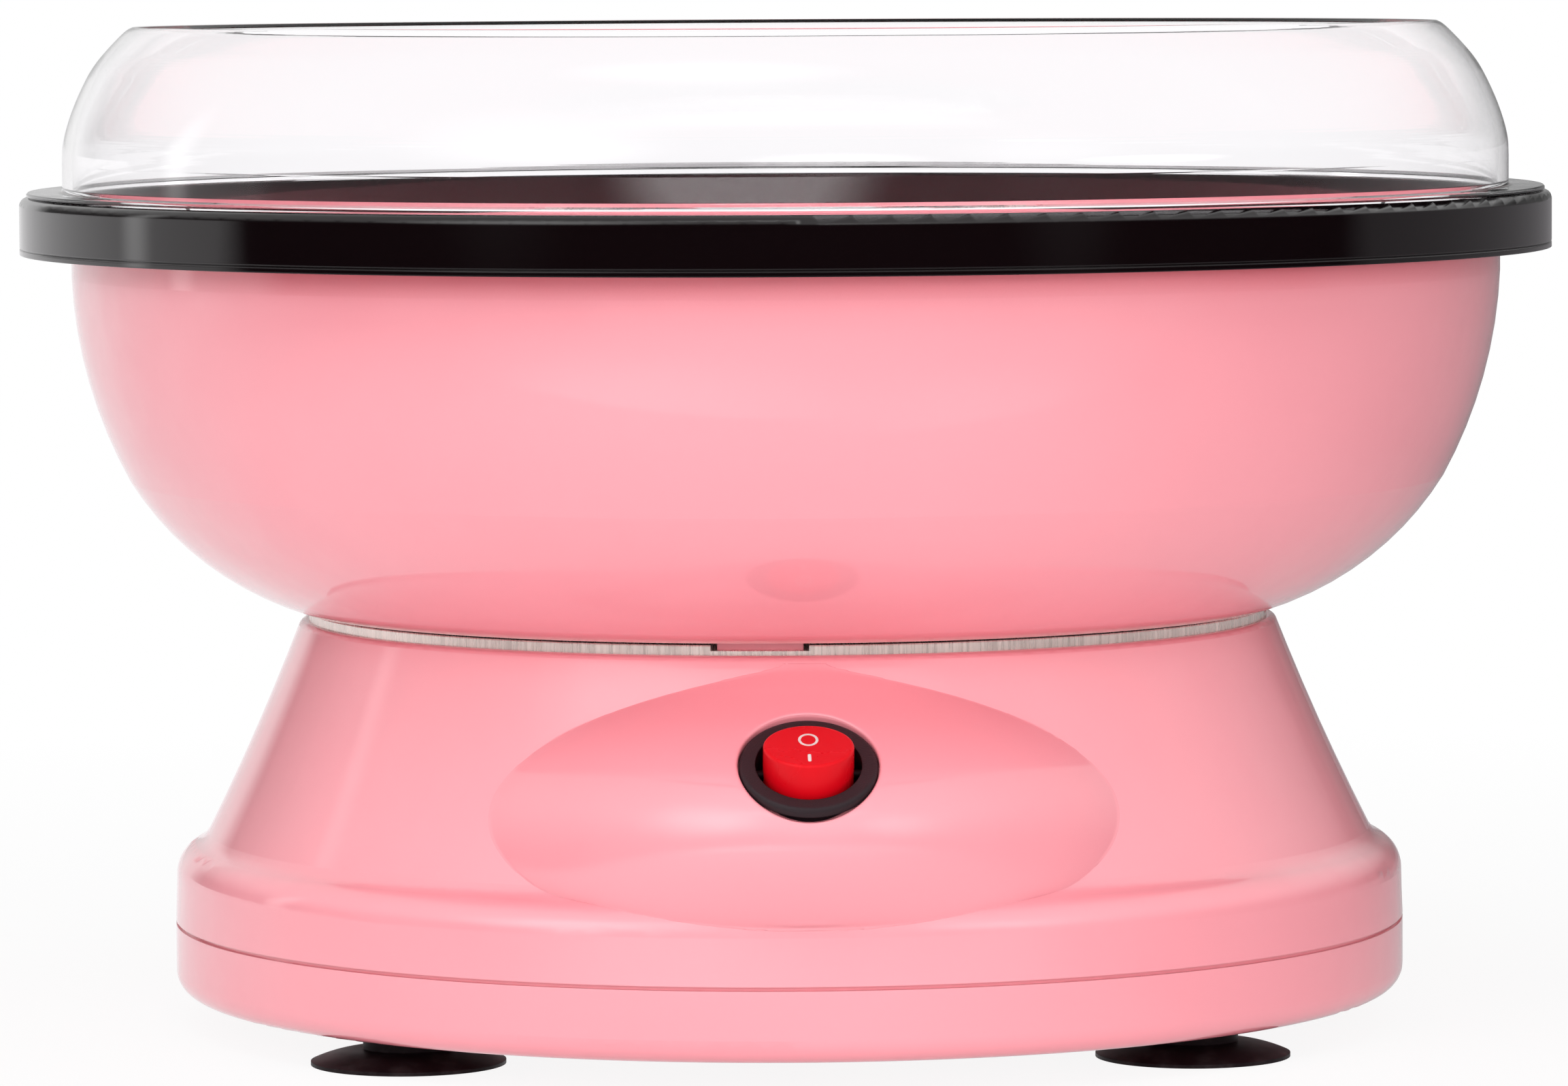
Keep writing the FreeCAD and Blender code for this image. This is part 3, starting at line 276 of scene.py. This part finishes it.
# Each plastic's numbers are its roughness, grain, grain scale and the gain of its edges; the paler edges are
# partly wear and partly a painted highlight
materials = {
    # Pink plastic; its deeper colour is a painted shade in narrow places of its upper part
    "pink_gloss": moulded_plastic(
        "pink_gloss", colour(0.89, 0.305, 0.355), 0.42, 0.008, 700.0, 1.06,
        specular=1.0, lacquer=1.0, painted_shade=colour(0.60, 0.10, 0.13)),
    "black_gloss": moulded_plastic(
        "black_gloss", colour(0.0035, 0.0016, 0.0020), 0.07, 0.008, 700.0, 4.0),
    "black_matte": moulded_plastic(
        "black_matte", colour(0.020, 0.011, 0.014), 0.44, 0.35, 2600.0, 2.6, specular=0.3),
    "red_plastic": moulded_plastic(
        "red_plastic", colour(0.67, 0.002, 0.008), 0.26, 0.05, 1500.0, 1.25, specular=0.2),
    "white_plastic": moulded_plastic(
        "white_plastic", colour(0.84, 0.83, 0.80), 0.35, 0.05, 1200.0, 1.1),
    "board_green": moulded_plastic(
        "board_green", colour(0.05, 0.24, 0.10), 0.30, 0.05, 1400.0, 1.5),
    "ceramic_white": moulded_plastic(
        "ceramic_white", colour(0.82, 0.79, 0.72), 0.62, 0.3, 1800.0, 1.1),
    "clear_shield": clear_acrylic("clear_shield", colour(0.998, 0.990, 1.0)),
    "brushed_aluminium": brushed_metal(
        "brushed_aluminium", colour(0.95, 0.85, 0.79), 0.30, turn=0.6, metallic=0.5),
    "spun_aluminium": turned_metal("spun_aluminium", colour(0.84, 0.84, 0.85), 0.24),
    "bright_steel": turned_metal(
        "bright_steel", colour(0.70, 0.70, 0.71), 0.20, pitch=2500.0, bump=0.06),
    "steel": plain_metal("steel", colour(0.50, 0.51, 0.53), 0.36, mottle=0.15),
    "heater_steel": plain_metal("heater_steel", colour(0.20, 0.16, 0.13), 0.45, mottle=0.4),
    "magnet": plain_metal("magnet", colour(0.10, 0.10, 0.11), 0.55, mottle=0.25, scale=500.0),
    "bronze": plain_metal("bronze", colour(0.62, 0.40, 0.18), 0.38),
    "black_rubber": soft_rubber("black_rubber", colour(0.008, 0.004, 0.005)),
}
# The rocker's pivot pin is given a near-black metal of its own, darker than the steel of its slot
dark_pin_metal = plain_metal("dark_pin_metal", colour(0.020, 0.012, 0.014), 0.5)
slot_of = {part["node"]: part["material_slot"] for part in frame["record"]["subparts"]}
for node_name, node in nodes.items():
    dressing = dark_pin_metal if node_name == "rocker_pin" else materials[slot_of[node_name]]
    node.data.materials.clear()
    node.data.materials.append(dressing)


# ---------------------------------------------------------------- pieces

def scene_piece(name, mesh, slot, body):
    """Object made from a mesh, in its slot's material, that rides on a body."""
    data = bpy.data.meshes.new(name)
    mesh.to_mesh(data)
    mesh.free()
    piece = bpy.data.objects.new(name, data)
    bpy.context.scene.collection.objects.link(piece)
    data.materials.append(materials[slot])
    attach(piece, body)
    return piece


def smooth_piece(name, mesh, slot, body):
    """Piece with smooth shading on both sides of its creases."""
    crease = math.radians(35.0)
    bmesh.ops.recalc_face_normals(mesh, faces=mesh.faces)
    for face in mesh.faces:
        face.smooth = True
    for edge in mesh.edges:
        if len(edge.link_faces) == 2 and edge.calc_face_angle() > crease:
            edge.smooth = False
    return scene_piece(name, mesh, slot, body)


def bridge(mesh, rows, whole=True):
    """Faces between neighbouring closed rows, and from the last to the first of a whole turn."""
    for index, row in enumerate(rows if whole else rows[:-1]):
        after = rows[(index + 1) % len(rows)]
        for near in range(len(row)):
            far = (near + 1) % len(row)
            mesh.faces.new((row[near], after[near], after[far], row[far]))


# ---------------------------------------------------------------- turned pieces

def between(first, last, along):
    """Point part of the way from one point of an outline to another."""
    return (first[0] + along * (last[0] - first[0]), first[1] + along * (last[1] - first[1]))


def smoothed(points, rounds=3):
    """Outline with its middle corners cut off again and again, which leaves a smooth curve."""
    near, far = 0.75, 0.25
    for _ in range(rounds):
        finer = [points[0]]
        for (first_r, first_z), (last_r, last_z) in zip(points, points[1:]):
            finer.append((near * first_r + far * last_r, near * first_z + far * last_z))
            finer.append((far * first_r + near * last_r, far * first_z + near * last_z))
        finer.append(points[-1])
        points = finer
    return points


def held(points, inset=0.12):
    """Outline with extra points beside the corners of its long runs, so that these shade flat."""
    long_run = 5 * inset
    finer = []
    for first, last in zip(points, points[1:] + points[:1]):
        finer.append(first)
        length = math.dist(first, last)
        if length > long_run:
            finer.append(between(first, last, inset / length))
            finer.append(between(first, last, 1.0 - inset / length))
    return finer


def turned_piece(name, outline, slot, body, start=0.0, sweep=360.0, steps=256):
    """Closed outline of radii and heights in millimetres, turned about Z."""
    outline = held(outline)
    mesh = bmesh.new()
    whole = sweep == 360.0
    rows = []
    for step in range(steps if whole else steps + 1):
        turn = math.radians(start + sweep * step / steps)
        rows.append([mesh.verts.new((r * MM * math.cos(turn), r * MM * math.sin(turn), z * MM))
                     for r, z in outline])
    bridge(mesh, rows, whole)
    if not whole:
        mesh.faces.new(rows[0])
        mesh.faces.new(rows[-1][::-1])
    return smooth_piece(name, mesh, slot, body)


def clear_dome():
    """Shield as one smooth turned skin: gentle lean of the wall, rolled lip and thin flange."""
    foot_z, foot_top = 155.0, 164.3
    ring_top, flange_top, flange_r = 162.52, 163.5, 148.6
    rounding = 0.3
    dome_r, wall = 141.6, 2.0
    # Outer side from the foot to the lip, and how far the wall stands upright at each point
    crown = ((dome_r, 169.0, 1.0), (141.5, 173.0, 1.0), (139.9, 178.5, 0.97),
             (137.6, 183.8, 0.92), (135.3, 188.0, 0.86), (132.0, 191.8, 0.75),
             (128.9, 194.9, 0.68), (127.6, 195.5, 0.62))
    outer_side = smoothed([(r, z) for r, z, upright in crown])
    inner_side = smoothed([(r - wall * upright, z - wall * (1.0 - upright))
                           for r, z, upright in crown])
    flange = [(dome_r, ring_top), (flange_r - rounding, ring_top),
              (flange_r, ring_top + rounding), (flange_r, flange_top - rounding),
              (flange_r - rounding, flange_top), (142.4, flange_top),
              (141.8, 163.7), (dome_r, foot_top)]
    lip = [(126.7, 195.4), (126.2, 194.9)]
    foot = [(dome_r - wall, foot_z), (dome_r, foot_z)]
    outline = foot + flange + outer_side + lip + inner_side[::-1]
    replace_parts(turned_piece("dome_skin", outline, "clear_shield", "lid"), "dome_shield")


def plate_hem():
    """Edge of the metal plate, turned up between the bowl's locating lugs."""
    edge_r, inner_r = 94.3, 93.4
    low, high = 80.0, 81.05
    rounding = 0.2
    outline = [(inner_r, low), (edge_r, low), (edge_r, high - rounding),
               (edge_r - rounding, high), (inner_r + rounding, high),
               (inner_r, high - rounding)]
    lug_start, lug_sweep, lug_count, clearance = -100.0, 10.0, 4, 0.6
    pitch = 360.0 / lug_count
    for index in range(lug_count):
        start = lug_start + index * pitch + lug_sweep + clearance
        turned_piece("plate_hem_%d" % (index + 1), outline, "brushed_aluminium", "base",
                     start, pitch - lug_sweep - 2 * clearance, steps=96)


# ---------------------------------------------------------------- raised panel

# Front of the panel in millimetres. There is a row for each even power of x / panel_span, and
# in it a number for each power of (z - panel_middle) / panel_height.
panel_span, panel_middle, panel_height = 40.0, 50.0, 20.0
panel_form = (
    (-126.4129, 3.7630, 15.7115, 6.1610, -1.9776, -2.8296),
    (17.8371, 2.7955, -8.3882, -0.2853, 3.6300),
    (-1.5853, 0.6949, 3.6344),
    (0.4373,),
)
switch_centre = Vector((0.0, -116.766, 61.3))
switch_lean = math.radians(35.0)
switch_axis = Vector((0.0, -math.sin(switch_lean), math.cos(switch_lean)))
switch_up = Vector((0.0, math.cos(switch_lean), math.sin(switch_lean)))
housing = nodes["base_housing"]
housing_faces = BVHTree.FromPolygons(
    [housing.matrix_world @ corner.co for corner in housing.data.vertices],
    [tuple(face.vertices) for face in housing.data.polygons])


def panel_y(x, z):
    """Y of the panel's front at a place in front view."""
    across, up = (x / panel_span) ** 2, (z - panel_middle) / panel_height
    return sum(amount * across ** i * up ** j
               for i, row in enumerate(panel_form) for j, amount in enumerate(row))


def housing_y(x, z):
    """Y of the housing's front as built, at a place in front view."""
    well_in_front = -200.0
    start = Vector((x, well_in_front, z)) * MM
    return housing_faces.ray_cast(start, Vector((0.0, 1.0, 0.0)))[0].y / MM


def crossing(level, low, high, rounds=40):
    """Place between low and high at which a level goes from below zero to above."""
    for _ in range(rounds):
        middle = (low + high) / 2.0
        if level(middle) > 0.0:
            high = middle
        else:
            low = middle
    return low


def switch_point(radius, turn, rise):
    """Point about the switch's axis, at a turn from +X and a rise over the switch's centre."""
    return (switch_centre + switch_axis * rise
            + Vector((radius * math.cos(turn), 0.0, 0.0)) + switch_up * (radius * math.sin(turn)))


def panel_rise(radius, turn):
    """Rise at which a line along the switch's axis leaves the panel."""
    lowest_rise, highest_rise = -8.0, 6.0

    def level(rise):
        point = switch_point(radius, turn, rise)
        return panel_y(point.x, point.z) - point.y
    return crossing(level, lowest_rise, highest_rise)


def panel_row(turn):
    """Front of the panel along one way out from the switch, from the hole to under the housing."""
    hole_r, lip, lip_steps = 12.95, 0.7, 6
    seat_rise, sunk = -2.0, 0.3
    steps, stride, highest = 40, 0.25, 77.9
    blend, reach, blend_steps, tucked = 0.2, 1.5, 20, 0.4

    # Wall of the switch's hole and its rounded lip
    front = []
    for step in range(lip_steps + 1):
        along = math.radians(90.0 * step / lip_steps)
        radius = hole_r + lip * (1.0 - math.cos(along))
        drop = lip * (1.0 - math.sin(along))
        front.append(switch_point(radius, turn, panel_rise(radius, turn) - drop))
    foot = min(seat_rise, panel_rise(hole_r, turn) - lip) - sunk
    front.insert(0, switch_point(hole_r, turn, foot))

    # Way out in front view, as far as the panel stands proud of the housing
    start = front[-1]
    way = Vector((start.x, start.z - switch_centre.z)).normalized()
    first = math.hypot(start.x, start.z - switch_centre.z)

    def seen_at(distance):
        return way.x * distance, switch_centre.z + way.y * distance

    def proud(distance):
        x, z = seen_at(distance)
        return panel_y(x, z) - housing_y(x, z)

    last = first
    while proud(last) < 0.0 and seen_at(last)[1] < highest:
        last += stride
    last = crossing(proud, last - stride, last)
    for step in range(1, steps + 1):
        x, z = seen_at(first + (last - reach - first) * step / steps)
        front.append(Vector((x, panel_y(x, z), z)))

    # Crease, where the panel runs into the housing, and the edge hidden behind it
    for step in range(1, blend_steps + 1):
        x, z = seen_at(last + reach * (2.0 * step / blend_steps - 1.0))
        z = min(z, highest)
        behind = housing_y(x, z)
        out = behind - panel_y(x, z)
        near = max(blend - abs(out), 0.0)
        raised = max(out, 0.0) + near * near / (4.0 * blend)
        front.append(Vector((x, behind - (raised if out > -blend else -tucked), z)))
    x, z = seen_at(last + reach + tucked)
    z = min(z, highest)
    front.append(Vector((x, housing_y(x, z) + tucked, z)))
    return front


def raised_panel():
    """Swollen oval that carries the switch, with a crisp crease where it leaves the cone."""
    thickness, turns, lip_rows = 1.0, 288, 8
    mesh = bmesh.new()
    rows = []
    for index in range(turns):
        front = panel_row(2.0 * math.pi * index / turns)
        back = [point - switch_axis * thickness for point in front[lip_rows - 1:]]
        rows.append([mesh.verts.new(point * MM) for point in front + back[::-1]])
    bridge(mesh, rows)
    smooth_piece("panel_skin", mesh, "pink_gloss", "base")


clear_dome()
plate_hem()
raised_panel()


# ---------------------------------------------------------------- marks on the rocker

def rocker_place():
    """Frame of the rocker's face at rest: X to the right, Y up the face, Z out of it."""
    lean = math.radians(21.0)
    face_height = 6.1 * MM
    joint = next(joint for joint in frame["joints"] if joint["name"] == "rocker_tilt")
    pivot = Matrix.Translation(Vector(joint["pos_m"]))
    return pivot @ Matrix.Rotation(lean, 4, "X") @ Matrix.Translation((0, 0, face_height))


def rounded_bar(half_width, half_height, points=10):
    """Outline of an upright bar with round ends."""
    outline = []
    for side, start in ((1, 0.0), (-1, math.pi)):
        for step in range(points + 1):
            turn = start + math.pi * step / points
            outline.append((half_width * math.cos(turn),
                            side * (half_height - half_width) + half_width * math.sin(turn)))
    return outline


def ellipse(half_width, half_height, points=48):
    steps = [2 * math.pi * step / points for step in range(points)]
    return [(half_width * math.cos(turn), half_height * math.sin(turn)) for turn in steps]


def printed_mark(name, outer, inner, centre_up):
    """Thin pad-printed mark on the rocker's face."""
    thickness = 0.06 * MM
    shift = Vector((0, centre_up, 0))
    mesh = bmesh.new()

    def loop(points, z):
        return [mesh.verts.new(Vector((x, y, z)) + shift) for x, y in points]

    def wall(first, second):
        count = len(first)
        for index in range(count):
            after = (index + 1) % count
            mesh.faces.new((first[index], first[after], second[after], second[index]))

    outer_low, outer_top = loop(outer, 0), loop(outer, thickness)
    wall(outer_low, outer_top)
    if inner:
        inner_low, inner_top = loop(inner, 0), loop(inner, thickness)
        wall(inner_top, inner_low)
        wall(outer_top, inner_top)
        wall(inner_low, outer_low)
    else:
        mesh.faces.new(outer_top)
        mesh.faces.new(outer_low[::-1])
    mesh.transform(rocker_place())
    scene_piece(name, mesh, "white_plastic", "rocker")


ring_width, ring_height, stroke, ring_up = 1.86 * MM, 2.45 * MM, 0.5 * MM, 2.2 * MM
bar_width, bar_height, bar_up = 0.32 * MM, 1.45 * MM, -5.1 * MM
printed_mark("off_mark", ellipse(ring_width, ring_height),
             ellipse(ring_width - stroke, ring_height - stroke), ring_up)
printed_mark("on_mark", rounded_bar(bar_width, bar_height), None, bar_up)


# ---------------------------------------------------------------- floor and world

def ray_kinds(tree):
    """1 for rays from the eye or through the clear shield, and 1 for mirrored rays."""
    path = add(tree, "LightPath")
    through = path.outputs["Is Transmission Ray"]
    seen = math_node(tree, "MAXIMUM", path.outputs["Is Camera Ray"], through)
    mirrored = math_node(tree, "MULTIPLY", path.outputs["Is Glossy Ray"],
                         math_node(tree, "SUBTRACT", 1.0, through))
    return seen, mirrored


def emission(tree, tint):
    return add(tree, "Emission", {"Color": tint, "Strength": 1.0}).outputs["Emission"]


def floor_material():
    """Pale matte floor that goes over to white far out.

    Mirrored rays meet it bright on the left, dim on the right and dark far in front.
    """
    white, dark = colour(1.0, 1.0, 1.0), colour(0.012, 0.010, 0.012)
    material, tree = new_tree("floor")
    coords = add(tree, "TexCoord").outputs["Object"]
    drift = noise(tree, coords, scale=14.0, detail=4.0)
    base = blended(tree, drift, colour(0.86, 0.855, 0.86), colour(0.90, 0.90, 0.90))
    matte = add(tree, "BsdfPrincipled", {
        "Base Color": base,
        "Roughness": 0.9,
        "Normal": bumped(tree, drift, strength=0.02, distance=1.0 * MM)})
    distance = add(tree, "VectorMath", {0: coords}, operation="LENGTH").outputs["Value"]
    far = spread(tree, distance, 0.90, 1.0, from_low=0.16, from_high=0.6)
    seen, mirror_ray = ray_kinds(tree)
    direct = add(tree, "MixShader", {0: math_node(tree, "MULTIPLY", seen, far),
                                     1: matte.outputs["BSDF"], 2: emission(tree, white)})
    parts = add(tree, "SeparateXYZ", {"Vector": coords})
    sideways, forward = parts.outputs["X"], parts.outputs["Y"]
    dark_front = math_node(
        tree, "MULTIPLY", spread(tree, distance, 0.0, 1.0, from_low=0.35, from_high=0.9),
        spread(tree, forward, 1.0, 0.0, from_low=-0.3, from_high=0.2))
    near = blended(tree, spread(tree, sideways, 0.0, 1.0, from_low=-0.15, from_high=0.35),
                   colour(0.95, 0.94, 0.95), colour(0.26, 0.25, 0.26))
    mirrored = emission(tree, blended(tree, dark_front, near, dark))
    mixed = add(tree, "MixShader", {0: mirror_ray, 1: direct.outputs["Shader"], 2: mirrored})
    output = add(tree, "OutputMaterial")
    tree.links.new(mixed.outputs["Shader"], output.inputs["Surface"])
    return material


def add_floor():
    half = 40.0
    corners = [(-half, -half, 0), (half, -half, 0), (half, half, 0), (-half, half, 0)]
    data = bpy.data.meshes.new("floor")
    data.from_pydata(corners, [], [(0, 1, 2, 3)])
    floor = bpy.data.objects.new("floor", data)
    bpy.context.scene.collection.objects.link(floor)
    data.materials.append(floor_material())


def set_world():
    """White behind the object. Other rays meet a soft studio, brighter left and dim in front."""
    world = bpy.data.worlds.new("studio")
    bpy.context.scene.world = world
    world.use_nodes = True
    tree = world.node_tree
    tree.nodes.clear()
    direction = add(tree, "TexCoord").outputs["Generated"]
    parts = add(tree, "SeparateXYZ", {"Vector": direction})
    sideways, depth, up = (parts.outputs[axis] for axis in "XYZ")
    sides = spread(tree, sideways, 0.13, 0.07, from_low=-0.6, from_high=0.6)
    front_dim = spread(tree, depth, 0.02, 1.0, from_low=-0.75, from_high=0.3)
    backdrop = math_node(
        tree, "MULTIPLY", spread(tree, depth, 0.0, 1.0, from_low=0.82, from_high=0.90),
        spread(tree, sideways, 0.95, 0.12, from_low=-0.3, from_high=0.3))
    ceiling = spread(tree, up, 0.0, 0.95, from_low=0.10, from_high=0.42)
    mirror = math_node(tree, "MAXIMUM", math_node(tree, "MULTIPLY", sides, front_dim), backdrop)
    mirror = math_node(tree, "MAXIMUM", mirror, ceiling)
    ambient = spread(tree, sideways, 0.62, 0.44, from_low=-1.0, from_high=1.0)
    seen, mirror_ray = ray_kinds(tree)
    unseen = blended(tree, mirror_ray, ambient, mirror)
    tint = blended(tree, seen, unseen, colour(1.0, 1.0, 1.0))
    shine = add(tree, "Background", {"Color": tint, "Strength": 1.0})
    output = add(tree, "OutputWorld")
    tree.links.new(shine.outputs["Background"], output.inputs["Surface"])


# ---------------------------------------------------------------- lamps

def soft_centre(light):
    """Softbox cloth: bright in the middle, fading out to its edges."""
    light.use_nodes = True
    tree = light.node_tree
    tree.nodes.clear()
    across = add(tree, "NewGeometry").outputs["Parametric"]
    centred = add(tree, "VectorMath", {0: across, 1: (0.5, 0.5, 0.0)}, operation="SUBTRACT")
    distance = add(tree, "VectorMath", {0: centred.outputs["Vector"]}, operation="LENGTH")
    glow = add(tree, "MapRange",
               {"Value": distance.outputs["Value"], "From Min": 0.05, "From Max": 0.5,
                "To Min": 1.0, "To Max": 0.0}, interpolation_type="SMOOTHSTEP")
    lamp = add(tree, "Emission", {"Strength": glow.outputs["Result"]})
    output = add(tree, "OutputLight")
    tree.links.new(lamp.outputs["Emission"], output.inputs["Surface"])


def area_lamp(name, size, power):
    light = bpy.data.lights.new(name, "AREA")
    light.shape = "RECTANGLE"
    light.size, light.size_y = size
    light.energy = power
    soft_centre(light)
    lamp = bpy.data.objects.new(name, light)
    bpy.context.scene.collection.objects.link(lamp)
    return lamp


def aim(lamp, way):
    lamp.rotation_euler = way.to_track_quat("-Z", "Y").to_euler()


def softbox(name, azimuth, elevation, distance, size, power, mirrored=True):
    """Area lamp aimed at the object. Azimuth 0 is in front of it, and positive to the right."""
    target = Vector((0.0, 0.0, 0.1))
    lamp = area_lamp(name, size, power)
    turn, rise = math.radians(azimuth), math.radians(elevation)
    way = Vector((math.sin(turn) * math.cos(rise), -math.cos(turn) * math.cos(rise),
                  math.sin(rise)))
    lamp.location = target + way * distance
    aim(lamp, -way)
    lamp.visible_glossy = mirrored


def table_card(centre, size, power):
    """Low card in front of the object that throws light up under the bowl."""
    height = 4 * MM
    card = area_lamp("table_card", size, power)
    card.location = (centre[0], centre[1], height)
    aim(card, Vector((0.0, 0.25, 1.0)))


add_floor()
set_world()
softbox("left_box", -42, 22, 1.7, (1.6, 1.5), 15.0)
softbox("left_fill", -36, 18, 1.9, (1.2, 1.0), 10.0, mirrored=False)
softbox("right_box", 38, 16, 1.8, (1.2, 1.2), 6.0)
softbox("right_fill", 56, 7, 1.8, (1.0, 0.3), 17.0, mirrored=False)
softbox("front_fill", 6, 10, 2.2, (1.4, 0.8), 36.0, mirrored=False)
softbox("front_low", -8, 1, 2.0, (1.8, 0.14), 16.0, mirrored=False)
softbox("front_strip", 0, 40, 2.0, (2.8, 0.4), 8.0)
softbox("top_box", -20, 62, 1.6, (1.2, 0.9), 18.0, mirrored=False)
softbox("left_strip", -109, 8, 1.6, (0.3, 1.2), 1.6)
table_card((-0.13, -0.33), (0.44, 0.26), 0.30)
table_card((0.14, -0.30), (0.36, 0.22), 0.12)


# ---------------------------------------------------------------- camera

def add_camera():
    """Eye a little above the ring, almost straight in front."""
    distance = 1555.9 * MM
    height = 206.4 * MM
    turn = math.radians(-1.8)
    pitch = math.radians(4.1594)
    roll = math.radians(-0.3221)
    data = bpy.data.cameras.new("camera")
    data.sensor_width = 36.0
    data.sensor_fit = "HORIZONTAL"
    data.lens = 181.6
    data.shift_x = -0.00214
    data.clip_end = 200.0
    camera = bpy.data.objects.new("camera", data)
    bpy.context.scene.collection.objects.link(camera)
    camera.location = (distance * math.sin(turn), -distance * math.cos(turn), height)
    look = Matrix.Rotation(turn, 3, "Z") @ Matrix.Rotation(math.pi / 2 - pitch, 3, "X")
    camera.rotation_euler = (look @ Matrix.Rotation(roll, 3, "Z")).to_euler()
    bpy.context.scene.camera = camera


add_camera()
bpy.context.scene.view_settings.view_transform = "Standard"
